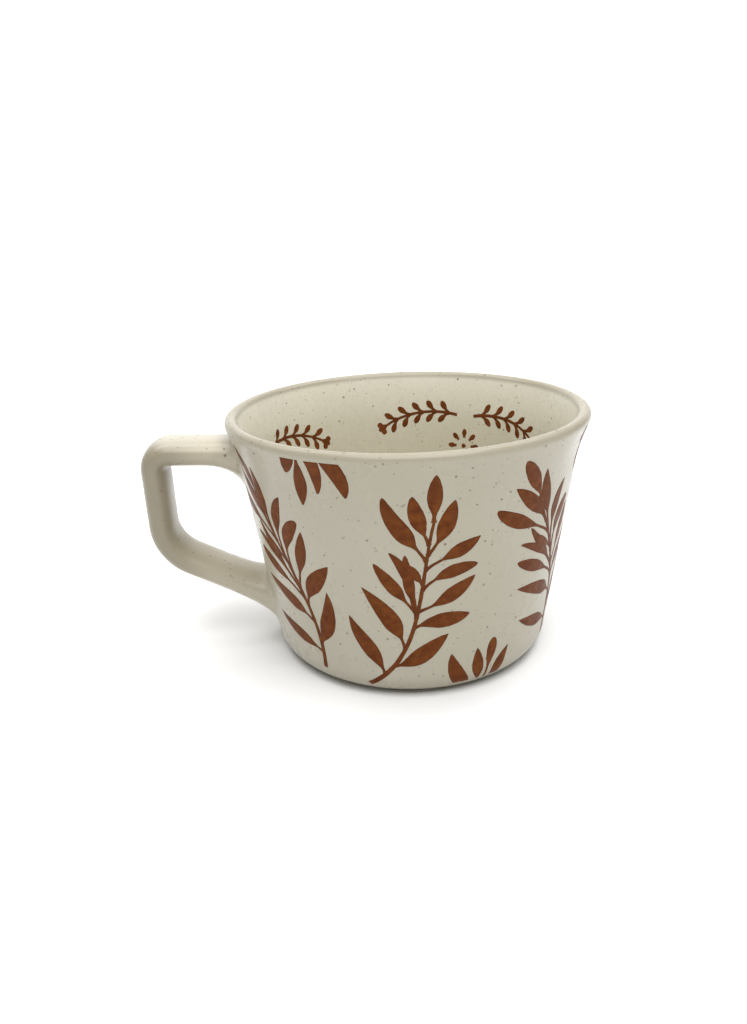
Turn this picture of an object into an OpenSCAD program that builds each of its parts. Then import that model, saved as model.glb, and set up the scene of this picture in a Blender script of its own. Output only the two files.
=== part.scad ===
// Wide stoneware mug: flared cup, strap handle, cream glaze and leaf-sprig prints inside and out.
// Millimetres. The origin is on the cup's axis at the plane it rests on, +Z is up, and the
// handle points along -X. Angles round the wall start at -Y and grow towards +X.

/* [Cup] */
// Height over the lip
height = 80; // [60:1:110]
// Radius over the lip
rim_r = 57.5; // [50:0.5:70]
// Radius of the rolled lip, half the wall's thickness
lip_r = 2.0; // [1.5:0.1:3]
// Lean of the straight wall, degrees from upright
wall_lean = 7.5; // [3:0.5:12]
// Lean of the flare where it meets the lip, degrees from upright
flare_lean = 23; // [15:1:35]
// Radius of the flare's curve
flare_r = 54; // [30:1:90]
// Radius of the outside corner at the base
corner_r = 7; // [4:0.5:12]
// Radius of the inside corner at the floor
floor_corner_r = 11; // [6:0.5:16]
// Height of the inside floor above the table
floor_z = 6; // [5:0.5:9]

/* [Foot] */
// Drop of the bare foot ring below the glazed corner
foot_drop = 0.6; // [0.3:0.1:2]
// Width of the foot ring
foot_w = 4.5; // [3:0.5:8]
// Depth of the recess inside the foot ring
recess_h = 1.8; // [1:0.1:2.5]

/* [Glaze and prints] */
// Thickness of the glaze
glaze_t = 0.4; // [0.3:0.05:0.6]
// Thickness of a fired print
print_t = 0.12; // [0.08:0.01:0.2]
// Plain band between the lip and the outside prints
print_margin = 3.5; // [2:0.5:8]
// Lower edge of the outside prints
print_bottom = 4; // [2.5:0.5:8]

/* [Handle] */
// Width of the strap
strap_w = 18; // [12:0.5:24]
// Thickness of the strap
strap_t = 8.6; // [6:0.1:10]
// Distance from the lip to the middle of the grip
grip_reach = 23.6; // [20:0.1:32]
// Drop from the lip to the upper corner
upper_drop = 10.5; // [9:0.5:16]
// Height of the lower corner above the table
lower_z = 36; // [32:0.5:42]
// Rise of the upper arm away from the cup, degrees
upper_rise = 3; // [0:1:8]
// Rise of the lower arm away from the cup, degrees
lower_rise = 28; // [20:1:32]
// Radius of the upper corner, at the middle of the strap
upper_bend_r = 5.5; // [5.2:0.1:9]
// Radius of the lower corner, at the middle of the strap
lower_bend_r = 15.5; // [8:0.5:18]
// Reach of the slip fillet out along the strap and over the wall
slip_w = 1.5; // [1:0.1:2]

/* [Hidden] */
$fn = 96;
arc_steps = 8;
// How far a tool that makes a joint or a cut runs past the surface
bury = 5;
// Radius of the wall on which widths of the prints are given
print_r = 50;

// One leaf is [place along the stem from 0 to 1, tip across, tip height, width].
// Across is measured round a wall of radius print_r, from the sprig's own upright line.
right_stem = [[-15, 4], [3, 15], [2, 40], [6.5, 64]];
right_leaves = [
    [0.15, -18.5, 29, 5.6], [0.20, 11, 22.5, 5.2], [0.36, -13.5, 39.5, 5.8], [0.43, 17.5, 29.5, 5.4],
    [0.54, -9.5, 47, 5.0], [0.58, -5, 50.5, 4.4], [0.56, 18.5, 41.5, 5.2], [0.67, 19, 46.5, 5.2],
    [0.77, 19, 55, 5.4], [0.84, -6.5, 67.5, 5.0], [0.85, 11.5, 66.5, 5.2], [0.91, 1, 68, 4.2],
    [0.99, 6.5, 74.5, 4.6]
];
left_stem = [[0, 5], [1, 28], [-8, 38], [-21, 63]];
left_leaves = [
    [0.14, -20, 20.5, 5.6], [0.20, 5.5, 35, 5.4], [0.35, -23, 32, 5.6], [0.45, 7.5, 44, 5.6],
    [0.54, -24.5, 41, 5.0], [0.59, -24, 50, 4.6], [0.62, 0.5, 53.5, 5.0], [0.72, -1.5, 57, 5.8],
    [0.83, -32, 60.5, 5.0], [0.82, -6, 64, 4.8], [0.91, -28.5, 67, 4.6], [0.89, -17.5, 70, 4.6],
    [0.99, -27, 74.5, 4.6]
];
// A leaf of a cut sprig is [root across, root height, tip across, tip height, width].
hanging_leaves = [
    [-8, 84, -9, 72.5, 6.2], [-3, 80, -5.5, 63, 5.2], [-1, 80, -0.5, 67.5, 4.6], [0.5, 80, 7, 66.5, 6.4]
];
rising_leaves = [
    [-1, 1, -9.5, 15.5, 5.4], [0, 2, -0.5, 16, 5.2], [2, 0, 5.5, 19, 5.6], [3, 1, 11.5, 14, 4.8]
];
// Widths of a sprig's stem at its foot and tip
stem_w = [1.6, 0.9];
// Turn from one sprig to the next, turn of the first, and extra turn of those that lean left
sprig_pitch = 51;
first_sprig = -57;
left_shift = 15;
// Height of the cup that heights in the lists are drawn for
sprig_height = 80;

// Middles of the inside garlands, and the stem of a half: across from there, and height
garland_angles = [61, 147, 250, 336];
garland_z = 65.5;
garland_line = [[3.2, 0], [13, 1.6], [23, -1.2], [30, -6.5]];
garland_stem_w = [1.1, 0.8];
garland_pairs = 6;
garland_leaf = 4.4;
garland_leaf_w = 1.9;
// Angle between a small leaf and its stem
garland_leaf_turn = 52;
// Drop of a flower below its garland, its petals from and to, and its dot
flower_drop = 12;
petals = 8;
petal_from = 3;
petal_to = 6.1;
petal_w = 1.5;
dot_r = 0.9;

clay_colour = [0.72, 0.60, 0.47];
cream = [0.80, 0.78, 0.70];
print_brown = [0.50, 0.28, 0.15];

// Centres and joints of the wall's section, [radius, height]
lip_c = [rim_r - lip_r, height - lip_r];
flare_end = lip_c + lip_r * [cos(flare_lean), -sin(flare_lean)];
flare_c = flare_end + flare_r * [cos(flare_lean), -sin(flare_lean)];
flare_start = flare_c - flare_r * [cos(wall_lean), -sin(wall_lean)];
corner_z = foot_drop + corner_r;
corner_tangent_z = corner_z - corner_r * sin(wall_lean);
corner_c = [wall_radius(corner_tangent_z) - corner_r * cos(wall_lean), corner_z];
floor_c_z = floor_z + floor_corner_r;
floor_tangent_z = floor_c_z - floor_corner_r * sin(wall_lean);
floor_c = [wall_radius(floor_tangent_z) - (2 * lip_r / cos(wall_lean)) - floor_corner_r * cos(wall_lean),
    floor_c_z];
foot_r = corner_c[0];
recess_r = foot_r - foot_w;
print_top = height - print_margin;

// Outside radius of the straight wall at a height
function wall_radius(z) = flare_start[0] + (z - flare_start[1]) * tan(wall_lean);
// Points on an arc about c from angle a to angle b
function arc(c, r, a, b, steps) = [for (i = [0:steps]) let (t = a + (b - a) * i / steps) c + r * [cos(t), sin(t)]];
function reversed(pts) = [for (i = [len(pts) - 1:-1:0]) pts[i]];
// The outside of the wall, moved d into the clay, from the base to the top of the lip
function outside(d) = concat(
    arc(corner_c, corner_r - d, -90, -wall_lean, arc_steps),
    arc(flare_c, flare_r + d, 180 - wall_lean, 180 - flare_lean, arc_steps),
    arc(lip_c, lip_r - d, -flare_lean, 90, arc_steps));
// The inside of the wall, moved d into the clay, from the top of the lip to the middle of the floor
function inside(d) = concat(
    arc(lip_c, lip_r - d, 90, 180 - flare_lean, arc_steps),
    arc(flare_c, flare_r + 2 * lip_r - d, 180 - flare_lean, 180 - wall_lean, arc_steps),
    arc(floor_c, floor_corner_r + d, -wall_lean, -90, arc_steps),
    [[0, floor_z - d]]);

// A cubic curve through its end points
function bezier(p, t) =
    p[0] * pow(1 - t, 3) + p[1] * 3 * t * pow(1 - t, 2) + p[2] * 3 * t * t * (1 - t) + p[3] * pow(t, 3);
function turned(v, a) = [v[0] * cos(a) - v[1] * sin(a), v[0] * sin(a) + v[1] * cos(a)];
// Unit direction of a cubic curve at t
function direction(p, t) =
    let (step = 0.01, d = bezier(p, min(t + step, 1)) - bezier(p, max(t - step, 0)))
    d / norm(d);
// Half-width of a leaf of width 1 along its length, pointed at both ends
function leaf_half(s) = sin(180 * pow(s, 0.9)) / 2;
function leaf_outline(a, b, w) =
    let (n = 8, len_ab = norm(b - a), t = (b - a) / len_ab, m = [-t[1], t[0]])
    concat(
        [for (i = [0:n]) a + (b - a) * i / n + m * w * leaf_half(i / n)],
        [for (i = [n - 1:-1:1]) a + (b - a) * i / n - m * w * leaf_half(i / n)]);

// Clay of the cup, with a bare foot ring and a shallow recess inside it
module clay_body() {
    color(clay_colour)
    rotate_extrude()
    polygon(concat(
        [[0, recess_h + glaze_t], [recess_r, recess_h + glaze_t], [recess_r, 0], [foot_r, 0]],
        outside(glaze_t),
        inside(glaze_t)));
}

// Everything inside the clay's outer surface moved out by grow, used to cope the handle to the wall
module wall_fill(grow) {
    rotate_extrude()
    polygon(concat([[0, 0]], outside(glaze_t - grow), [[0, height]]));
}

// Section of the strap: round-edged, thickness across X and width across Y
module strap_section(grow) {
    t = strap_t + 2 * grow;
    square([t, strap_w - strap_t], center = true);
    for (side = [-1, 1])
        translate([0, side * (strap_w - strap_t) / 2])
        circle(d = t);
}

grip_x = rim_r + grip_reach;
upper_corner = [grip_x, height - upper_drop];
lower_corner = [grip_x, lower_z];
upper_tangent = upper_bend_r * tan((90 + upper_rise) / 2);
lower_tangent = lower_bend_r * tan((90 - lower_rise) / 2);
upper_bend_c = upper_corner - [upper_bend_r, upper_tangent];
lower_bend_c = lower_corner + [-lower_bend_r, lower_tangent];

// Height where the middle line of an arm meets the line of the straight wall
function meeting_z(corner, rise) =
    (corner[1] - (corner[0] - wall_radius(0)) * tan(rise)) / (1 - tan(wall_lean) * tan(rise));
// End of an arm's middle line, buried in the wall
function root_point(corner, rise) =
    let (x = wall_radius(meeting_z(corner, rise)) - bury)
    [x, corner[1] - (corner[0] - x) * tan(rise)];
upper_root = root_point(upper_corner, upper_rise);
lower_root = root_point(lower_corner, lower_rise);

// Middle line of the strap as [point, heading], from the upper root round to the lower one
strap_path = concat(
    [[upper_root, upper_rise]],
    [for (i = [0:arc_steps]) let (t = (90 + upper_rise) * (1 - i / arc_steps))
        [upper_bend_c + upper_bend_r * [cos(t), sin(t)], t - 90]],
    [for (i = [0:arc_steps]) let (t = (lower_rise - 90) * i / arc_steps)
        [lower_bend_c + lower_bend_r * [cos(t), sin(t)], t - 90]],
    [[lower_root, lower_rise - 180]]);

// Outline of the strap's section, as many points as ring_points
ring_points = 26;
strap_outline = [for (i = [0:ring_points - 1])
    let (half = ring_points / 2, side = i < half ? 1 : -1, t = 180 * (i % half) / (half - 1) + (i < half ? 0 : 180))
    [strap_t / 2 * cos(t), strap_t / 2 * sin(t) + side * (strap_w - strap_t) / 2]];

// The whole strap, swept along its middle line and drawn towards +X
module strap() {
    rings = len(strap_path);
    last = (rings - 1) * ring_points;
    polyhedron(
        points = [for (s = strap_path) for (q = strap_outline)
            [s[0][0] - q[0] * sin(s[1]), q[1], s[0][1] + q[0] * cos(s[1])]],
        faces = concat(
            [[for (k = [ring_points - 1:-1:0]) k]],
            [[for (k = [0:ring_points - 1]) last + k]],
            [for (r = [0:rings - 2]) for (k = [0:ring_points - 1])
                let (a = r * ring_points + k, b = r * ring_points + (k + 1) % ring_points)
                [a, b, b + ring_points, a + ring_points]]));
}

// A straight, grown stretch of an arm, from its root outwards
module grown_arm(root, rise, grow) {
    translate([root[0], 0, root[1]])
    rotate([0, 90 - rise, 0])
    linear_extrude(height = grip_x - root[0])
    strap_section(grow);
}

module handle() {
    color(cream)
    mirror([1, 0, 0])
    difference() {
        strap();
        wall_fill(0);
    }
}

// Fillet of slip round a root, in two steps that narrow away from the wall
module slip_joint(root, rise) {
    color(cream)
    mirror([1, 0, 0])
    difference() {
        for (step = [1, 2])
            intersection() {
                grown_arm(root, rise, (3 - step) * slip_w);
                wall_fill(glaze_t + slip_w * step);
            }
        grown_arm(root, rise, 0);
        wall_fill(0);
    }
}

module upper_slip_joint() {
    slip_joint(upper_root, upper_rise);
}

module lower_slip_joint() {
    slip_joint(lower_root, lower_rise);
}

// Glaze on the outside of the wall, open where the handle and its slip meet the clay
module outside_glaze() {
    color(cream)
    difference() {
        rotate_extrude()
        polygon(concat(outside(0), reversed(outside(glaze_t))));
        mirror([1, 0, 0]) {
            grown_arm(upper_root, upper_rise, 2 * slip_w);
            grown_arm(lower_root, lower_rise, 2 * slip_w);
        }
    }
}

module inside_glaze() {
    color(cream)
    rotate_extrude()
    polygon(concat(inside(0), reversed(inside(glaze_t))));
}

module base_glaze() {
    color(cream)
    translate([0, 0, recess_h])
    cylinder(r = recess_r, h = glaze_t);
}

// Thin skins on the wall that the prints are cut from
module outside_print_skin() {
    intersection() {
        rotate_extrude()
        polygon(concat(outside(-print_t), reversed(outside(0))));
        translate([0, 0, print_bottom])
        cylinder(r = rim_r + bury, h = print_top - print_bottom);
    }
}

module inside_print_skin() {
    rotate_extrude()
    polygon(concat(inside(-print_t), reversed(inside(0))));
}

// An outline given as [across, height], pushed out through the wall at the angle of across = mid
module through_wall(mid, outline) {
    start = wall_radius(0) - 2 * bury;
    rotate([0, 0, mid / print_r * 180 / PI])
    rotate([90, 0, 0])
    translate([0, 0, start])
    linear_extrude(height = rim_r + bury - start)
    polygon([for (p = outline) [(p[0] - mid) * wall_radius(p[1]) / print_r, p[1]]]);
}

module leaf(a, b, w) {
    through_wall((a[0] + b[0]) / 2, leaf_outline(a, b, w));
}

// A stem along a curve, tapering between the two widths w
module stem(curve, w) {
    n = 10;
    pts = [for (i = [0:n]) bezier(curve, i / n)];
    side = [for (i = [0:n])
        let (d = pts[min(i + 1, n)] - pts[max(i - 1, 0)])
        [-d[1], d[0]] / norm(d) * (w[0] + (w[1] - w[0]) * i / n) / 2];
    through_wall(bezier(curve, 0.5)[0], concat(
        [for (i = [0:n]) pts[i] + side[i]],
        [for (i = [n:-1:0]) pts[i] - side[i]]));
}

// Heights in the lists are for a cup of sprig_height, and scale with the cup
function scaled(p) = [p[0], p[1] * height / sprig_height];

module sprig(i) {
    leans_left = i % 2 == 0;
    curve = [for (p = leans_left ? left_stem : right_stem) scaled(p)];
    color(print_brown)
    intersection() {
        outside_print_skin();
        rotate([0, 0, first_sprig + i * sprig_pitch + (leans_left ? left_shift : 0)])
        union() {
            stem(curve, stem_w);
            for (l = leans_left ? left_leaves : right_leaves)
                leaf(bezier(curve, l[0]), scaled([l[1], l[2]]), l[3]);
        }
    }
}

// Sprigs that run off the upper or lower edge of the printed band
module cut_sprig(i, leaves) {
    color(print_brown)
    intersection() {
        outside_print_skin();
        rotate([0, 0, first_sprig + (i + 0.5) * sprig_pitch])
        union()
        for (l = leaves)
            leaf(scaled([l[0], l[1]]), scaled([l[2], l[3]]), l[4]);
    }
}

// Half of a garland on the inside wall: a drooping stem with pairs of small leaves and one at its tip
module garland_half(angle, side) {
    curve = [for (p = garland_line) [side * p[0], garland_z * height / sprig_height + p[1]]];
    color(print_brown)
    intersection() {
        inside_print_skin();
        rotate([0, 0, angle])
        union() {
            stem(curve, garland_stem_w);
            for (k = [1:garland_pairs], turn = [-garland_leaf_turn, garland_leaf_turn])
                let (t = (k - 0.5) / garland_pairs, root = bezier(curve, t))
                leaf(root, root + garland_leaf * turned(direction(curve, t), turn), garland_leaf_w);
            leaf(bezier(curve, 1 - 0.5 / garland_pairs), curve[3] + garland_leaf / 2 * direction(curve, 1),
                garland_leaf_w);
        }
    }
}

// Ring of petals round a dot
module flower(angle) {
    centre = [0, garland_z * height / sprig_height - flower_drop];
    color(print_brown)
    intersection() {
        inside_print_skin();
        rotate([0, 0, angle])
        union() {
            leaf(centre - [dot_r, 0], centre + [dot_r, 0], 2 * dot_r);
            for (k = [0:petals - 1])
                let (d = turned([1, 0], k * 360 / petals))
                leaf(centre + petal_from * d, centre + petal_to * d, petal_w);
        }
    }
}

clay_body();
handle();
upper_slip_joint();
lower_slip_joint();
outside_glaze();
inside_glaze();
base_glaze();
for (i = [0:5])
    sprig(i);
for (i = [0:2])
    cut_sprig(2 * i, hanging_leaves);
for (i = [0:2])
    cut_sprig(2 * i + 1, rising_leaves);
for (i = [0:3])
    garland_half(garland_angles[i], -1);
for (i = [0:3])
    garland_half(garland_angles[i], 1);
for (i = [0:3])
    flower(garland_angles[i]);
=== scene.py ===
"""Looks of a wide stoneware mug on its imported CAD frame. Metres, +Z up, handle along -X."""
import math

import bmesh
import bpy
from mathutils import Matrix, Vector, noise


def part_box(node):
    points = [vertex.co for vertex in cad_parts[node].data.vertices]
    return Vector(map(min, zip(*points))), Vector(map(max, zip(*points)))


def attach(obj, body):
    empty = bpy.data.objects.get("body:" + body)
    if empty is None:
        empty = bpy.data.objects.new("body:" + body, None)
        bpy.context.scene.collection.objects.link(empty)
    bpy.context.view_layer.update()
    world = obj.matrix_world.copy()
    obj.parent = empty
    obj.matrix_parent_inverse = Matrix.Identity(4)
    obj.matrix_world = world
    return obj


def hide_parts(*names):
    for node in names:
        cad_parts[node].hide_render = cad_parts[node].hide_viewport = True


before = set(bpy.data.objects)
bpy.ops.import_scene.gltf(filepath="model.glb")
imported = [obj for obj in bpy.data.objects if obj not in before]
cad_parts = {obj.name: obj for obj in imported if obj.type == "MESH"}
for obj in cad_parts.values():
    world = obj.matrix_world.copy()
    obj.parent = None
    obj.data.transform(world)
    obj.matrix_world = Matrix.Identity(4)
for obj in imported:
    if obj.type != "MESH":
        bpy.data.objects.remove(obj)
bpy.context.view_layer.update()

MM = 0.001

# --- Sizes, from the frame where the frame has them -------------------------------------------

outside_low, outside_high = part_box("outside_glaze")
foot_low, foot_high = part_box("base_glaze")
strap_low, strap_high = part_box("handle")

HEIGHT = outside_high.z
RIM_R = outside_high.x
FOOT_DROP = outside_low.z
RECESS_R = foot_high.x
RECESS_Z = foot_low.z
GLAZE_T = foot_high.z - foot_low.z

LIP_R = 2.0 * MM
WALL_LEAN = math.radians(7.5)
FLARE_LEAN = math.radians(23)
FLARE_R = 54 * MM
CORNER_R = 7 * MM
FLOOR_CORNER_R = 11 * MM
FLOOR_Z = 6 * MM

STRAP_W = strap_high.y - strap_low.y
STRAP_T = 8.6 * MM
GRIP_X = -strap_low.x - STRAP_T / 2
UPPER_Z = 69.5 * MM
LOWER_Z = 36 * MM
UPPER_RISE = math.radians(3)
LOWER_RISE = math.radians(28)
UPPER_BEND_R = 5.5 * MM
LOWER_BEND_R = 15.5 * MM

PRINT_R = 50 * MM          # radius at which widths of the prints are stated
PRINT_T = 0.07 * MM
PRINT_TOP = 77.1 * MM
PRINT_BOTTOM = 4 * MM

TURNS = 360                # steps round the cup


# --- Section of the cup -----------------------------------------------------------------------

def polar(centre, radius, angle):
    return (centre[0] + radius * math.cos(angle), centre[1] + radius * math.sin(angle))


lip_c = (RIM_R - LIP_R, HEIGHT - LIP_R)
flare_end = polar(lip_c, LIP_R, -FLARE_LEAN)
flare_c = polar(flare_end, FLARE_R, -FLARE_LEAN)
flare_start = polar(flare_c, -FLARE_R, -WALL_LEAN)


def straight_radius(z):
    """Outside radius of the straight wall."""
    return flare_start[0] + (z - flare_start[1]) * math.tan(WALL_LEAN)


corner_z = FOOT_DROP + CORNER_R
corner_top = corner_z - CORNER_R * math.sin(WALL_LEAN)
corner_c = (straight_radius(corner_top) - CORNER_R * math.cos(WALL_LEAN), corner_z)
floor_c_z = FLOOR_Z + FLOOR_CORNER_R
floor_top = floor_c_z - FLOOR_CORNER_R * math.sin(WALL_LEAN)
wall_step = 2 * LIP_R / math.cos(WALL_LEAN)
floor_c = (straight_radius(floor_top) - wall_step - FLOOR_CORNER_R * math.cos(WALL_LEAN), floor_c_z)
FOOT_R = corner_c[0]


def arc(centre, radius, start, end, steps):
    """Points on an arc, closer together at its two ends, so that neighbours join without a crease."""
    shares = [(1 - math.cos(math.pi * i / steps)) / 2 for i in range(steps + 1)]
    return [polar(centre, radius, start + (end - start) * share) for share in shares]


def outside_line(depth):
    """The outside of the wall, depth below its surface, from the base to the top of the lip."""
    half = math.pi / 2
    return (arc(corner_c, CORNER_R - depth, -half, -WALL_LEAN, 20)
            + arc(flare_c, FLARE_R + depth, math.pi - WALL_LEAN, math.pi - FLARE_LEAN, 20)
            + arc(lip_c, LIP_R - depth, -FLARE_LEAN, half, 24))


def inside_line(depth):
    """The inside of the wall, depth below its surface, from the top of the lip to the floor."""
    half = math.pi / 2
    return (arc(lip_c, LIP_R - depth, half, math.pi - FLARE_LEAN, 24)
            + arc(flare_c, FLARE_R + 2 * LIP_R - depth, math.pi - FLARE_LEAN, math.pi - WALL_LEAN, 20)
            + arc(floor_c, FLOOR_CORNER_R + depth, -WALL_LEAN, -half, 20)
            + [(0.0, FLOOR_Z - depth)])


def wall_at(z, inside=False):
    """Radius and outward lean of the wall's surface at a height."""
    flare_radius = FLARE_R + (2 * LIP_R if inside else 0)
    flare_from = flare_c[1] + flare_radius * math.sin(WALL_LEAN)
    if z > flare_from:
        lean = math.asin((z - flare_c[1]) / flare_radius)
        return flare_c[0] - flare_radius * math.cos(lean), lean
    if not inside and z < corner_top:
        drop = (corner_z - z) / CORNER_R
        lean = math.asin(min(drop, 1))
        return corner_c[0] + CORNER_R * math.cos(lean), lean
    return straight_radius(z) - (wall_step if inside else 0), WALL_LEAN


def on_wall(across, z, lift, turn, inside=False):
    """A place on the wall: across round it, at height z, lifted off it, seen from the angle turn."""
    radius, lean = wall_at(z, inside)
    if inside:
        lift = -lift
    angle = turn + across / PRINT_R
    reach = radius + lift * math.cos(lean)
    return (reach * math.sin(angle), -reach * math.cos(angle), z - lift * math.sin(lean))


# --- Mesh helpers -----------------------------------------------------------------------------

def make_piece(name, points, faces, material, slot, nodes, crease=math.radians(40)):
    """A smooth-shaded piece that stands for CAD nodes and rides on the mug."""
    mesh = bpy.data.meshes.new(name)
    mesh.from_pydata(points, [], faces)
    mesh.update()
    work = bmesh.new()
    work.from_mesh(mesh)
    bmesh.ops.recalc_face_normals(work, faces=work.faces)
    work.to_mesh(mesh)
    work.free()
    mesh.shade_smooth()
    mesh.set_sharp_from_angle(angle=crease)
    mesh.materials.append(material)
    piece = bpy.data.objects.new(name, mesh)
    bpy.context.scene.collection.objects.link(piece)
    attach(piece, "root")
    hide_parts(*nodes)
    return piece


def revolve(line):
    """Points and faces of a closed line of (radius, height) turned about the axis."""
    points = []
    rings = []
    for radius, z in line:
        if radius < 1e-9:
            rings.append([len(points)])
            points.append((0.0, 0.0, z))
            continue
        rings.append(list(range(len(points), len(points) + TURNS)))
        for i in range(TURNS):
            angle = 2 * math.pi * i / TURNS
            points.append((radius * math.cos(angle), radius * math.sin(angle), z))
    faces = []
    for ring, following in zip(rings, rings[1:] + rings[:1]):
        for i in range(TURNS):
            j = (i + 1) % TURNS
            if len(ring) == 1 and len(following) == 1:
                break
            if len(ring) == 1:
                faces.append((ring[0], following[i], following[j]))
            elif len(following) == 1:
                faces.append((ring[i], following[0], ring[j]))
            else:
                faces.append((ring[i], following[i], following[j], ring[j]))
    return points, faces


def tube(rings, closed=False):
    """Points and faces of rings of points joined in order, capped at the ends unless closed."""
    count = len(rings[0])
    points = [p for ring in rings for p in ring]
    spans = len(rings) if closed else len(rings) - 1
    faces = []
    for r in range(spans):
        a = r * count
        b = ((r + 1) % len(rings)) * count
        for k in range(count):
            m = (k + 1) % count
            faces.append((a + k, a + m, b + m, b + k))
    if not closed:
        faces.append(tuple(reversed(range(count))))
        faces.append(tuple(range((len(rings) - 1) * count, len(rings) * count)))
    return points, faces


# --- Materials --------------------------------------------------------------------------------

class Nodes:
    """Short calls for building one material's node tree."""

    def __init__(self, name):
        self.material = bpy.data.materials.new(name)
        self.material.use_nodes = True
        self.tree = self.material.node_tree
        self.shader = self.tree.nodes["Principled BSDF"]
        self.place = self.add("ShaderNodeTexCoord").outputs["Object"]

    def add(self, kind, **settings):
        node = self.tree.nodes.new(kind)
        for key, value in settings.items():
            setattr(node, key, value)
        return node

    def link(self, source, target):
        self.tree.links.new(source, target)

    def noise(self, scale, detail=3.0, roughness=0.5):
        node = self.add("ShaderNodeTexNoise")
        self.link(self.place, node.inputs["Vector"])
        node.inputs["Scale"].default_value = scale
        node.inputs["Detail"].default_value = detail
        node.inputs["Roughness"].default_value = roughness
        return node.outputs["Fac"]

    def remap(self, value, low, high, to_low=0.0, to_high=1.0):
        node = self.add("ShaderNodeMapRange", interpolation_type="SMOOTHSTEP")
        self.link(value, node.inputs["Value"])
        numbers = {"From Min": low, "From Max": high, "To Min": to_low, "To Max": to_high}
        for key, number in numbers.items():
            node.inputs[key].default_value = number
        return node.outputs["Result"]

    def math(self, operation, a, b):
        node = self.add("ShaderNodeMath", operation=operation)
        for socket, value in zip(node.inputs, (a, b)):
            if isinstance(value, (int, float)):
                socket.default_value = value
            else:
                self.link(value, socket)
        return node.outputs["Value"]

    def mix(self, share, first, second):
        """A colour between two, each a colour or a socket."""
        node = self.add("ShaderNodeMix", data_type="RGBA")
        self.link(share, node.inputs["Factor"])
        for socket, value in ((node.inputs["A"], first), (node.inputs["B"], second)):
            if isinstance(value, tuple):
                socket.default_value = (*value, 1.0)
            else:
                self.link(value, socket)
        return node.outputs["Result"]

    def specks(self, spacing, size, share):
        """A mask of specks about spacing apart, up to size across, in a share of the cells."""
        node = self.add("ShaderNodeTexVoronoi", feature="F1")
        self.link(self.place, node.inputs["Vector"])
        node.inputs["Scale"].default_value = 1 / spacing
        split = self.add("ShaderNodeSeparateColor")
        self.link(node.outputs["Color"], split.inputs["Color"])
        radius = self.math("MULTIPLY", split.outputs["Red"], size / spacing / 2)
        nearness = self.math("DIVIDE", node.outputs["Distance"], self.math("ADD", radius, 0.002))
        dot = self.remap(nearness, 0.6, 1.25, 1.0, 0.0)
        chosen = self.remap(split.outputs["Green"], 1 - share, 1 - share + 0.02)
        depth = self.remap(split.outputs["Blue"], 0.0, 1.0, 0.45, 1.0)
        return self.math("MULTIPLY", self.math("MULTIPLY", dot, chosen), depth)

    def bump(self, height, distance, strength=1.0):
        node = self.add("ShaderNodeBump")
        self.link(height, node.inputs["Height"])
        node.inputs["Distance"].default_value = distance
        node.inputs["Strength"].default_value = strength
        self.link(node.outputs["Normal"], self.shader.inputs["Normal"])

    def set(self, **values):
        for key, value in values.items():
            self.shader.inputs[key.replace("_", " ")].default_value = value


def glaze_material(name, pale, warm, roughness, ior, coat, tints_and_painted_light):
    """Cream glaze over iron-specked stoneware: soft clouding, specks of several sizes, satin gloss.

    Each entry of tints_and_painted_light is (axis, start, end, colour): a painted shade, a painted
    highlight or a darker lip. The glaze turns to that colour from start to end.
    """
    n = Nodes(name)
    clouds = n.remap(n.noise(26, 2, 0.4), 0.25, 0.80)
    colour = n.mix(clouds, pale, warm)
    split = n.add("ShaderNodeSeparateXYZ")
    n.link(n.place, split.inputs["Vector"])
    # Painted shade and painted highlight are laid on here, along with the darker lip.
    for axis, start, end, tint in tints_and_painted_light:
        colour = n.mix(n.remap(split.outputs[axis], start, end), colour, tint)
    grain = n.remap(n.noise(900, 2, 0.6), 0.45, 0.75, 0.0, 0.16)
    colour = n.mix(grain, colour, (0.36, 0.32, 0.24))
    for spacing, size, share, ink in (
            (2.3 * MM, 0.95 * MM, 0.70, (0.15, 0.10, 0.06)),
            (1.6 * MM, 0.58 * MM, 0.60, (0.20, 0.15, 0.10)),
            (1.1 * MM, 0.34 * MM, 0.50, (0.25, 0.20, 0.14))):
        colour = n.mix(n.math("MULTIPLY", n.specks(spacing, size, share), 0.85), colour, ink)
    n.link(colour, n.shader.inputs["Base Color"])
    gloss = n.remap(n.noise(60, 3), 0.3, 0.7, roughness - 0.05, roughness + 0.06)
    n.link(gloss, n.shader.inputs["Roughness"])
    n.set(IOR=ior, Coat_Weight=coat, Coat_Roughness=0.24, Coat_IOR=1.45)
    ripple = n.math("ADD", n.noise(90, 1), n.math("MULTIPLY", n.noise(700, 2), 0.12))
    n.bump(ripple, 0.05 * MM)
    return n.material


def print_material():
    """Fired brown print: mottled inside, with a darker line where the colour gathers at its edge."""
    n = Nodes("brown_print")
    mottle = n.remap(n.noise(420, 5, 0.65), 0.34, 0.68)
    colour = n.mix(mottle, (0.108, 0.028, 0.006), (0.180, 0.053, 0.011))
    patches = n.remap(n.noise(75, 3, 0.5), 0.40, 0.70, 0.0, 0.55)
    colour = n.mix(patches, colour, (0.130, 0.038, 0.010))
    edge = n.add("ShaderNodeAttribute", attribute_name="edge").outputs["Fac"]
    colour = n.mix(n.remap(edge, 0.35, 1.0, 0.0, 0.75), colour, (0.070, 0.018, 0.006))
    n.link(colour, n.shader.inputs["Base Color"])
    n.link(n.remap(n.noise(300, 3), 0.3, 0.7, 0.34, 0.46), n.shader.inputs["Roughness"])
    n.set(IOR=1.14, Coat_Weight=0.03, Coat_Roughness=0.2, Coat_IOR=1.4)
    n.bump(n.noise(500, 3), 0.03 * MM)
    return n.material


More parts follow.
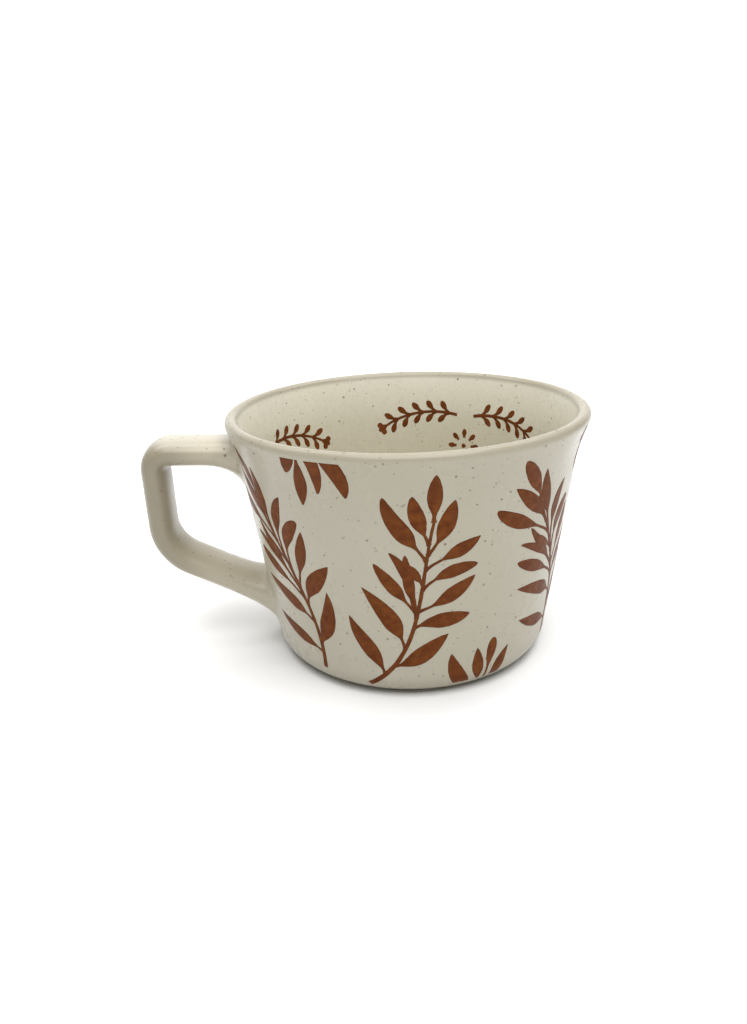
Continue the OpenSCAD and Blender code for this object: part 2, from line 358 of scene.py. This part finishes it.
def clay_material():
    """Bare stoneware on the foot: tan, gritty, with dark iron grains."""
    n = Nodes("bare_clay")
    patches = n.remap(n.noise(120, 5, 0.6), 0.3, 0.7)
    colour = n.mix(patches, (0.43, 0.31, 0.20), (0.54, 0.41, 0.28))
    colour = n.mix(n.specks(1.6 * MM, 0.6 * MM, 0.6), colour, (0.14, 0.08, 0.05))
    n.link(colour, n.shader.inputs["Base Color"])
    n.set(Roughness=0.88, IOR=1.45)
    n.bump(n.noise(1600, 4, 0.7), 0.12 * MM)
    return n.material


# Glaze is darker over the lip. Painted shade darkens the foot, the inside towards its floor and the
# outside of the grip; a painted highlight makes the top of the upper arm paler.
LIP_SHADE = ("Z", HEIGHT - 2.6 * MM, HEIGHT - 0.6 * MM, (0.36, 0.325, 0.245))
# Painted shade: the glaze darkens towards the base, where the wall curves under to the floor.
FOOT_PAINTED_SHADE = ("Z", 9 * MM, 2 * MM, (0.36, 0.33, 0.25))
# Painted shade: the inside's glaze darkens from near the lip down towards the cup's floor.
INSIDE_PAINTED_SHADE = ("Z", 78 * MM, 44 * MM, (0.52, 0.485, 0.375))
# Painted shade: the outside of the grip, which faces away from the light, is darker.
GRIP_PAINTED_SHADE = ("X", -62 * MM, -80 * MM, (0.290, 0.255, 0.185))
# Painted highlight: the top of the upper arm is paler.
UPPER_ARM_PAINTED_HIGHLIGHT = ("Z", 71 * MM, 74 * MM, (0.53, 0.50, 0.41))
GLAZE = glaze_material("speckled_glaze", (0.458, 0.428, 0.340), (0.436, 0.404, 0.312),
                       0.30, 1.36, 0.22, (LIP_SHADE, FOOT_PAINTED_SHADE))
# Painted light: the inside's glaze is a much paler copy of the outside's, standing in for the light
# that falls into the cup.
PAINTED_LIGHT_INSIDE_GLAZE = glaze_material("inside_glaze_with_painted_light", (0.690, 0.660, 0.545), (0.665, 0.632, 0.518),
                              0.28, 1.36, 0.22, (INSIDE_PAINTED_SHADE, LIP_SHADE))
# The strap's glaze carries painted shade on the grip's outside and a painted highlight on top of the
# upper arm.
STRAP_GLAZE = glaze_material("strap_glaze", (0.470, 0.428, 0.330), (0.440, 0.394, 0.297),
                             0.32, 1.38, 0.20, (GRIP_PAINTED_SHADE, UPPER_ARM_PAINTED_HIGHLIGHT))
PRINT = print_material()
CLAY = clay_material()


# --- Cup --------------------------------------------------------------------------------------

def make_cup():
    """Clay with its foot ring, and the three coats of glaze on it."""
    edge = 0.5 * MM
    foot = (arc((RECESS_R + edge, edge), edge, math.pi, 1.5 * math.pi, 6)
            + arc((FOOT_R - edge, edge), edge, -math.pi / 2, 0, 6))
    top = RECESS_Z + GLAZE_T
    clay = [(0.0, top), (RECESS_R, top)] + foot + outside_line(GLAZE_T) + inside_line(GLAZE_T)
    make_piece("cup_clay", *revolve(clay), CLAY, "clay", ["clay_body"])

    outside = outside_line(0) + list(reversed(outside_line(GLAZE_T)))
    make_piece("cup_outside_glaze", *revolve(outside), GLAZE, "glaze", ["outside_glaze"])

    inside = inside_line(0) + list(reversed(inside_line(GLAZE_T)))
    make_piece("cup_inside_glaze", *revolve(inside), PAINTED_LIGHT_INSIDE_GLAZE, "glaze", ["inside_glaze"])

    pool = 0.8 * MM
    base = [(0.0, RECESS_Z), (RECESS_R - 2 * pool, RECESS_Z), (RECESS_R - pool, RECESS_Z - 0.1 * MM),
            (RECESS_R, RECESS_Z - pool), (RECESS_R, top), (0.0, top)]
    make_piece("cup_base_glaze", *revolve(base), GLAZE, "glaze", ["base_glaze"])


# --- Handle -----------------------------------------------------------------------------------

upper_tangent = UPPER_BEND_R * math.tan((math.pi / 2 + UPPER_RISE) / 2)
lower_tangent = LOWER_BEND_R * math.tan((math.pi / 2 - LOWER_RISE) / 2)
upper_bend_c = (GRIP_X - UPPER_BEND_R, UPPER_Z - upper_tangent)
lower_bend_c = (GRIP_X - LOWER_BEND_R, LOWER_Z + lower_tangent)
SECTION_POINTS = 72
SQUARENESS = 2.4           # 2 is an ellipse, more is squarer
FILLET_STEPS = 14


def section_point(k):
    """A point of the strap's section and its outward normal, as (thickness, width)."""
    t = 2 * math.pi * k / SECTION_POINTS
    c = math.cos(t)
    s = math.sin(t)
    power = 2 / SQUARENESS
    point = (math.copysign(abs(c) ** power, c) * STRAP_T / 2,
             math.copysign(abs(s) ** power, s) * STRAP_W / 2)
    slope = (math.copysign(abs(c) ** (2 - power), c) / STRAP_T,
             math.copysign(abs(s) ** (2 - power), s) / STRAP_W)
    size = math.hypot(*slope)
    return point, (slope[0] / size, slope[1] / size)


def strap_point(middle, heading, offset):
    """A place on the strap: offset is (thickness, width) from its middle line, in the plane y = 0."""
    x = middle[0] - offset[0] * math.sin(heading)
    z = middle[1] + offset[0] * math.cos(heading)
    return Vector((-x, offset[1], z))


def strap_path():
    """Middle line of the strap between its roots, as (place, heading)."""
    steps = 22
    path = []
    for i in range(steps + 1):
        t = (math.pi / 2 + UPPER_RISE) * (1 - i / steps)
        path.append((polar(upper_bend_c, UPPER_BEND_R, t), t - math.pi / 2))
    for i in range(steps + 1):
        t = (LOWER_RISE - math.pi / 2) * i / steps
        path.append((polar(lower_bend_c, LOWER_BEND_R, t), t - math.pi / 2))
    return path


def meet_wall(start, direction, depth):
    """Where a line from start towards the cup is depth inside the wall's outer surface."""
    near, far = 0.0, GRIP_X
    for _ in range(40):
        middle = (near + far) / 2
        p = start + direction * middle
        if math.hypot(p.x, p.y) > wall_at(p.z)[0] - depth:
            near = middle
        else:
            far = middle
    return start + direction * near


def arm_line(middle, heading, inwards, offset):
    """A line on the strap along a straight arm: a point on it and its direction to the cup."""
    start = strap_point(middle, heading, offset)
    direction = Vector((-math.cos(heading), 0.0, math.sin(heading))) * inwards
    return start, direction


def make_handle():
    """The strap, whose ends run into the wall."""
    path = strap_path()
    bury = 2 * MM
    offsets = [section_point(k)[0] for k in range(SECTION_POINTS)]
    rings = [[strap_point(middle, heading, o) for o in offsets] for middle, heading in path]
    first = [meet_wall(*arm_line(*path[0], -1, o), bury) for o in offsets]
    last = [meet_wall(*arm_line(*path[-1], 1, o), bury) for o in offsets]
    rings = [first] + rings + [last]
    make_piece("strap", *tube(rings), STRAP_GLAZE, "glazed_strap", ["handle"])


def make_slip_joint(name, node, end, inwards, along, over):
    """Slip smoothed round a root.

    along is its reach on the strap, above and below, and over is its reach on the wall.
    """
    middle, heading = end
    sink = 0.35 * MM
    up_sign = -1 if inwards > 0 else 1
    loops = []
    for k in range(SECTION_POINTS):
        offset, normal = section_point(k)
        share = (1 + up_sign * normal[0]) / 2
        reach_along = along[1] + (along[0] - along[1]) * share
        reach_over = over[1] + (over[0] - over[1]) * share
        start, direction = arm_line(middle, heading, inwards, offset)
        root = meet_wall(start, direction, 0.0)
        out = strap_point((0, 0), heading, normal)
        on_strap = root - direction * reach_along
        spread = root + out * reach_over
        radius, lean = wall_at(spread.z)
        size = math.hypot(spread.x, spread.y)
        foot = Vector((spread.x * radius / size, spread.y * radius / size, spread.z))
        loop = []
        for i in range(FILLET_STEPS + 1):
            t = (1 - math.cos(math.pi * i / FILLET_STEPS)) / 2
            loop.append(on_strap * (1 - t) ** 2 + root * 2 * t * (1 - t) + foot * t * t)
        inward = Vector((-foot.x, -foot.y, 0)).normalized()
        loop.append(foot + inward * sink)
        loop.append(root + inward * sink - out * sink)
        loop.append(on_strap - out * sink)
        loops.append(loop)
    make_piece(name, *tube(loops, closed=True), STRAP_GLAZE, "glazed_strap", [node],
               crease=math.radians(60))


# --- Prints -----------------------------------------------------------------------------------

# One leaf is (place along the stem, tip across, tip height, width, bend near the root, bend near
# the tip, bare stalk, widest place, roundness of the tip). Across, height and width are in
# millimetres. Bends are shares of the leaf's length and lean it towards the stem's tip. The
# others run from 0 to 1.
RIGHT_STEM = ((-15, 4.2), (5.0, 14.5), (2.2, 41), (6.7, 61))
RIGHT_LEAVES = (
    (0.125, -18.5, 28.9, 5.2, 0.07, -0.07, 0.04, 0.45, 0.35),
    (0.20, 11.3, 23.0, 5.8, -0.15, -0.04, 0.02, 0.48, 0.40),
    (0.32, -13.8, 39.2, 5.8, 0.11, 0.06, 0.12, 0.42, 0.20),
    (0.45, 17.6, 29.3, 5.2, 0.10, -0.04, 0.03, 0.55, 0.60),
    (0.52, -9.8, 47.2, 4.1, 0.01, -0.02, 0.24, 0.55, 0.60),
    (0.54, 18.5, 41.8, 4.8, -0.08, -0.06, 0.18, 0.58, 0.40),
    (0.65, 19.0, 45.5, 4.2, 0.17, 0.10, 0.20, 0.60, 0.80),
    (0.75, 19.2, 54.2, 4.3, 0.05, -0.06, 0.28, 0.62, 0.35),
    (0.82, 11.7, 66.0, 4.7, -0.10, -0.06, 0.20, 0.58, 0.55),
    (0.79, -6.3, 67.5, 5.0, 0.00, -0.13, 0.20, 0.47, 0.75),
    (0.87, 1.0, 67.8, 4.3, -0.03, -0.08, 0.15, 0.55, 0.65),
    (0.98, 6.7, 74.0, 4.0, 0.00, 0.00, 0.05, 0.52, 0.60),
    (0.50, -5.4, 50.8, 3.1, 0.10, 0.15, 0.25, 0.65, 0.70),
    (0.51, -1.2, 50.0, 3.0, -0.06, -0.02, 0.25, 0.55, 0.90),
    (0.68, -0.8, 46.7, 3.0, 0.00, 0.00, 0.00, 0.60, 1.00),
)
LEFT_STEM = ((0.8, 6.3), (2.6, 26), (-6.0, 38), (-19.5, 62))
LEFT_LEAVES = (
    (0.11, -20.0, 20.3, 4.6, 0.03, -0.04, 0.06, 0.46, 0.25),
    (0.17, 6.1, 35.2, 5.6, -0.10, -0.12, 0.00, 0.40, 0.30),
    (0.31, -23.2, 32.3, 4.9, 0.09, 0.04, 0.12, 0.38, 0.30),
    (0.42, 7.9, 44.2, 5.6, 0.16, 0.03, 0.10, 0.50, 0.30),
    (0.46, -24.6, 41.6, 4.1, 0.08, 0.02, 0.25, 0.66, 0.80),
    (0.53, 0.2, 53.8, 4.4, 0.02, -0.02, 0.22, 0.60, 0.35),
    (0.57, -0.9, 56.6, 4.7, 0.22, 0.30, 0.40, 0.74, 1.00),
    (0.78, -33.9, 60.4, 4.5, 0.06, -0.08, 0.28, 0.68, 0.90),
    (0.64, -6.2, 63.2, 4.2, 0.16, 0.24, 0.42, 0.70, 0.55),
    (0.85, -28.7, 66.0, 4.5, 0.05, 0.03, 0.15, 0.55, 0.40),
    (0.78, -18.2, 69.5, 4.5, 0.02, 0.04, 0.30, 0.60, 0.45),
    (0.96, -27.3, 74.0, 4.4, 0.08, 0.03, 0.12, 0.58, 0.85),
    (0.50, -24.2, 47.4, 2.7, 0.10, 0.12, 0.30, 0.65, 0.70),
    (0.51, -20.8, 51.8, 3.0, 0.02, -0.02, 0.25, 0.55, 0.80),
    (0.68, -18.6, 48.6, 2.6, 0.00, 0.00, 0.00, 0.60, 1.00),
)
# A leaf of a cut sprig has (root across, root height) in place of its place along the stem, and
# its bends lean it towards +across.
HANGING_LEAVES = (
    (-4.6, 84.0, -9.5, 72.4, 4.1, 0.00, 0.00, 0.00, 0.55, 0.80),
    (-4.4, 79.5, -6.2, 62.8, 4.0, 0.00, -0.02, 0.10, 0.60, 0.45),
    (-2.4, 86.0, -0.9, 67.1, 3.8, 0.06, 0.10, 0.00, 0.45, 0.80),
    (-1.0, 84.0, 6.8, 66.7, 4.7, 0.10, 0.14, 0.00, 0.55, 0.70),
)
RISING_LEAVES = (
    (-1.8, 0.0, -9.7, 15.4, 5.6, -0.13, -0.12, 0.00, 0.40, 0.55),
    (0.2, 3.0, -0.8, 15.8, 4.3, 0.03, 0.00, 0.00, 0.45, 0.30),
    (2.7, 3.0, 5.0, 18.0, 3.7, 0.02, 0.03, 0.22, 0.76, 1.00),
    (4.0, 0.0, 11.5, 13.2, 4.2, 0.02, 0.00, 0.00, 0.50, 0.30),
)
SPRIG_PITCH = math.radians(51)
FIRST_SPRIG = math.radians(-57)
LEFT_SHIFT = math.radians(15)
RAGGED = 0.10 * MM         # how far a printed edge wanders
RAGGED_SCALE = 1300        # how closely it wanders, per metre
LANES = (-1, -0.9, -0.6, 0, 0.6, 0.9, 1)   # places across a ribbon, as shares of its half-width
EDGE_LINE = 0.45 * MM      # width of the darker line at a print's edge
EDGE_SINK = 0.01 * MM      # a print's edge lies this deep in the glaze
UNDERSIDE_SINK = 0.05 * MM


def bezier(points, t):
    count = len(points) - 1
    terms = (Vector(p) * math.comb(count, i) * t ** i * (1 - t) ** (count - i)
             for i, p in enumerate(points))
    return sum(terms, Vector((0, 0)))


class Print:
    """The mesh of one print: leaves and stems drawn on the unrolled wall and wrapped round it."""

    def __init__(self, turn, inside=False):
        self.turn = turn
        self.inside = inside
        self.points = []
        self.faces = []
        self.edge = []

    def ribbon(self, spine, halves, lift=0.0):
        """A closed skin along a spine of (across, height) points with half-widths."""
        rows = []
        last = len(spine) - 1
        for i, (place, half) in enumerate(zip(spine, halves)):
            ahead = (spine[min(i + 1, last)] - spine[max(i - 1, 0)]).normalized()
            side = Vector((-ahead.y, ahead.x))
            row = []
            for lane in LANES:
                spot = place + side * half * lane
                ragged = noise.noise(Vector((spot.x, spot.y, self.turn)) * RAGGED_SCALE)
                spot = spot + side * (ragged * RAGGED * lane * min(half / (0.5 * MM), 1))
                end = min(i, last - i) == 0
                crown = 0.0 if abs(lane) == 1 or end else 1.0
                row.append(len(self.points))
                self.points.append(self.wrap(spot, (PRINT_T + lift) * crown - EDGE_SINK))
                self.edge.append(max(0.0, 1 - (1 - abs(lane)) * half / EDGE_LINE))
            for lane in (1, -1):
                row.append(len(self.points))
                self.points.append(self.wrap(place + side * half * lane, -UNDERSIDE_SINK))
                self.edge.append(1.0)
            rows.append(row)
        width = len(rows[0])
        for a, b in zip(rows, rows[1:]):
            for k in range(width):
                m = (k + 1) % width
                self.faces.append((a[k], a[m], b[m], b[k]))
        self.faces.append(tuple(reversed(rows[0])))
        self.faces.append(tuple(rows[-1]))

    def wrap(self, spot, lift):
        return on_wall(spot.x, spot.y, lift, self.turn, self.inside)

    def leaf(self, root, tip, width, bends, stalk, peak, blunt, towards, steps=26,
             stem_w=0.85 * MM):
        """A leaf from root to tip. towards is the direction that positive bends lean its midrib to."""
        way = tip - root
        side = Vector((-way.y, way.x))
        if side.dot(towards) < 0:
            side = -side
        spine_curve = (root, root + way / 3 + side * bends[0], tip - way / 3 + side * bends[1], tip)
        taper = 1.0 - 0.55 * blunt
        spine = []
        halves = []
        for i in range(steps + 1):
            s = (1 - math.cos(math.pi * i / steps)) / 2
            spine.append(bezier(spine_curve, s))
            if s < stalk:
                blade = 0.0
            elif s < peak:
                blade = math.sin(math.pi / 2 * (s - stalk) / (peak - stalk)) ** 1.25
            else:
                blade = max(math.cos(math.pi / 2 * (s - peak) / (1 - peak)), 0) ** taper
            web = 0.45 * MM * math.exp(-s * way.length / (0.9 * MM))
            thin = stem_w / 2 + web if s < peak else 0.02 * MM
            halves.append(max(thin, width / 2 * blade))
        self.ribbon(spine, halves)

    def stem(self, curve, start_w, end_w, steps=36):
        spine = [bezier(curve, i / steps) for i in range(steps + 1)]
        halves = [(start_w + (end_w - start_w) * i / steps) / 2 for i in range(steps + 1)]
        self.ribbon(spine, halves, lift=0.006 * MM)

    def finish(self, name, node, cut=None):
        piece = make_piece(name, self.points, self.faces, PRINT, "print", [node],
                           crease=math.radians(70))
        attribute = piece.data.attributes.new("edge", "FLOAT", "POINT")
        attribute.data.foreach_set("value", self.edge)
        if cut:
            trim(piece.data, *cut)


def trim(mesh, height, keep):
    """Cuts a mesh level at a height, keeps the part below (-1) or above (1), and closes it."""
    work = bmesh.new()
    work.from_mesh(mesh)
    everything = list(work.verts) + list(work.edges) + list(work.faces)
    bmesh.ops.bisect_plane(work, geom=everything, plane_co=(0, 0, height), plane_no=(0, 0, -keep),
                           clear_outer=True)
    rim = [e for e in work.edges if e.is_boundary]
    bmesh.ops.holes_fill(work, edges=rim, sides=0)
    bmesh.ops.recalc_face_normals(work, faces=work.faces)
    work.to_mesh(mesh)
    work.free()


def flat(values):
    return Vector(values) * MM


def make_sprig(index):
    """A whole sprig. Those that lean left and right take turns round the cup."""
    leans_left = index % 2 == 0
    curve = [flat(p) for p in (LEFT_STEM if leans_left else RIGHT_STEM)]
    sprig = Print(FIRST_SPRIG + index * SPRIG_PITCH + (LEFT_SHIFT if leans_left else 0))
    sprig.stem(curve, 1.7 * MM, 0.8 * MM)
    leaves = LEFT_LEAVES if leans_left else RIGHT_LEAVES
    for place, across, height, width, near, far, stalk, peak, blunt in leaves:
        ahead = bezier(curve, min(place + 0.02, 1)) - bezier(curve, place - 0.02)
        sprig.leaf(bezier(curve, place), flat((across, height)), width * MM, (near, far),
                   stalk, peak, blunt, ahead)
    sprig.finish(f"print_sprig_{index + 1}", f"sprig_{index + 1}")


def make_cut_sprig(name, node, place, leaves, cut):
    """A sprig that runs off the edge of the printed band."""
    sprig = Print(FIRST_SPRIG + (place + 0.5) * SPRIG_PITCH)
    for root_across, root_height, across, height, width, near, far, stalk, peak, blunt in leaves:
        sprig.leaf(flat((root_across, root_height)), flat((across, height)), width * MM,
                   (near, far), stalk, peak, blunt, Vector((1, 0)))
    sprig.finish(name, node, cut)


# One garland is (turn of its middle, height of its stems there); they were not laid on level.
GARLANDS = ((61, 65.0), (147, 65.0), (250, 62.8), (336, 65.0))
GARLAND_LINE = ((3.2, -0.3), (13, 1.8), (24, 0.6), (33, -5.4))
GARLAND_PAIRS = 5
GARLAND_LEAF = 5.2 * MM
GARLAND_LEAF_W = 2.2 * MM
GARLAND_LEAF_TURN = math.radians(50)
FLOWER_Z = 53.3
PETALS = 8
PETAL_FROM = 3.0 * MM
PETAL_TO = 6.4 * MM
PETAL_W = 1.9 * MM
DOT_R = 0.9 * MM


def make_garland_half(turn, height, side, name, node):
    """Half of an inside garland: a drooping stem with paired paddle-shaped leaves, three at its tip."""
    curve = [flat((side * x, height + z)) for x, z in GARLAND_LINE]
    half = Print(turn, inside=True)
    half.stem(curve, 1.2 * MM, 0.9 * MM, steps=24)
    for pair in range(GARLAND_PAIRS + 1):
        place = (pair + 0.75) / (GARLAND_PAIRS + 1)
        at_tip = pair == GARLAND_PAIRS
        root = bezier(curve, place)
        ahead = (bezier(curve, place + 0.02) - bezier(curve, place - 0.02)).normalized()
        for up in (-1, 1):
            across = Vector((-ahead.y, ahead.x)) * up
            way = ahead * math.cos(GARLAND_LEAF_TURN) + across * math.sin(GARLAND_LEAF_TURN)
            tip = root + way * GARLAND_LEAF * (0.6 if at_tip else 1)
            half.leaf(root, tip, GARLAND_LEAF_W, (0.05, 0.05), 0.12, 0.65, 1.0, ahead,
                      steps=12, stem_w=0.8 * MM)
    end = (bezier(curve, 1.0) - bezier(curve, 0.96)).normalized()
    half.leaf(curve[3] - end * 2.0 * MM, curve[3] + end * 1.6 * MM, GARLAND_LEAF_W, (0.0, 0.0),
              0.1, 0.6, 1.0, Vector((1, 0)), steps=12, stem_w=0.8 * MM)
    half.finish(name, node)


def make_flower(turn, name, node):
    """A dot in a ring of petals."""
    centre = flat((0, FLOWER_Z))
    flower = Print(turn, inside=True)
    radius = Vector((DOT_R, 0))
    flower.leaf(centre - radius, centre + radius, 2 * DOT_R, (0.0, 0.0), 0.0, 0.5, 1.0,
                Vector((0, 1)), steps=12, stem_w=0.1 * MM)
    for petal in range(PETALS):
        angle = 2 * math.pi * petal / PETALS
        way = Vector((math.cos(angle), math.sin(angle)))
        flower.leaf(centre + way * PETAL_FROM, centre + way * PETAL_TO, PETAL_W, (0.0, 0.0),
                    0.0, 0.55, 1.0, Vector((0, 1)), steps=12, stem_w=0.4 * MM)
    flower.finish(name, node)


def make_prints():
    for index in range(6):
        make_sprig(index)
    for index in range(3):
        make_cut_sprig(f"print_hanging_{index + 1}", f"hanging_sprig_{index + 1}", 2 * index,
                       HANGING_LEAVES, (PRINT_TOP, -1))
        make_cut_sprig(f"print_rising_{index + 1}", f"rising_sprig_{index + 1}", 2 * index + 1,
                       RISING_LEAVES, (PRINT_BOTTOM, 1))
    for index, (degrees, height) in enumerate(GARLANDS, start=1):
        turn = math.radians(degrees)
        make_garland_half(turn, height, -1, f"print_garland_left_{index}", f"garland_left_{index}")
        make_garland_half(turn, height, 1, f"print_garland_right_{index}", f"garland_right_{index}")
        make_flower(turn, f"print_flower_{index}", f"flower_{index}")


# --- Stage, light and camera ------------------------------------------------------------------

SWEEP_FRONT = -1.2
SWEEP_BACK = 0.9           # metres behind the mug where the backdrop starts to curve up
SWEEP_R = 0.35
SWEEP_HALF = 1.6
SWEEP_TOP = 1.3


def make_stage():
    """A pale sweep: the floor, and a backdrop that curves up from it behind the mug."""
    line = [(SWEEP_FRONT, 0.0), (SWEEP_BACK, 0.0)]
    line += arc((SWEEP_BACK, SWEEP_R), SWEEP_R, -math.pi / 2, 0, 24)[1:]
    line += [(SWEEP_BACK + SWEEP_R, SWEEP_TOP)]
    points = [(side * SWEEP_HALF, y, z) for y, z in line for side in (-1, 1)]
    faces = [(2 * i, 2 * i + 1, 2 * i + 3, 2 * i + 2) for i in range(len(line) - 1)]
    mesh = bpy.data.meshes.new("sweep")
    mesh.from_pydata(points, [], faces)
    mesh.shade_smooth()
    sweep = bpy.data.objects.new("sweep", mesh)
    bpy.context.scene.collection.objects.link(sweep)
    n = Nodes("pale_paper")
    colour = n.mix(n.noise(3.0, 2), (0.90, 0.90, 0.90), (0.92, 0.92, 0.92))
    n.link(colour, n.shader.inputs["Base Color"])
    n.set(Roughness=0.95)
    mesh.materials.append(n.material)


def add_softbox(name, location, target, size, radiance):
    light = bpy.data.lights.new(name, "AREA")
    light.shape = "RECTANGLE"
    light.size, light.size_y = size
    light.energy = radiance * math.pi * size[0] * size[1]
    lamp = bpy.data.objects.new(name, light)
    bpy.context.scene.collection.objects.link(lamp)
    lamp.location = location
    lamp.rotation_euler = (Vector(target) - Vector(location)).to_track_quat("-Z", "Y").to_euler()


def make_light():
    """Soft light from overhead, a weaker one on the backdrop and a dim surround."""
    world = bpy.data.worlds.new("studio")
    bpy.context.scene.world = world
    world.use_nodes = True
    background = world.node_tree.nodes["Background"]
    background.inputs["Color"].default_value = (1.0, 1.0, 1.0, 1.0)
    background.inputs["Strength"].default_value = 0.18
    add_softbox("key", (0.05, -0.40, 1.05), (0.0, 0.0, 0.04), (1.1, 0.9), 4.7)
    add_softbox("backdrop_light", (0.0, 0.45, 1.1), (0.0, 0.8, 0.0), (2.2, 0.5), 4.5)
    bpy.context.scene.view_settings.view_transform = "Standard"


CAMERA_AT = Vector((-25.4, -241.5, 135.3)) * MM
CAMERA_AIM = Vector((-11.6, 1.2, 43.3)) * MM
CAMERA_ROLL = math.radians(-2.35)
LENS = 27.07               # millimetres on a 36 mm frame


def make_camera():
    camera = bpy.data.cameras.new("camera")
    camera.sensor_width = 36
    camera.sensor_fit = "AUTO"
    camera.lens = LENS
    camera.clip_start = 0.01
    eye = bpy.data.objects.new("camera", camera)
    bpy.context.scene.collection.objects.link(eye)
    look = (CAMERA_AIM - CAMERA_AT).to_track_quat("-Z", "Y").to_matrix().to_4x4()
    eye.matrix_world = Matrix.Translation(CAMERA_AT) @ look @ Matrix.Rotation(CAMERA_ROLL, 4, "Z")
    bpy.context.scene.camera = eye


make_cup()
make_handle()
make_slip_joint("upper_slip", "upper_slip_joint", strap_path()[0], -1,
                (2.5 * MM, 13.0 * MM), (1.8 * MM, 9.6 * MM))
make_slip_joint("lower_slip", "lower_slip_joint", strap_path()[-1], 1,
                (17.0 * MM, 19.0 * MM), (4.4 * MM, 5.6 * MM))
make_prints()
make_stage()
make_light()
make_camera()
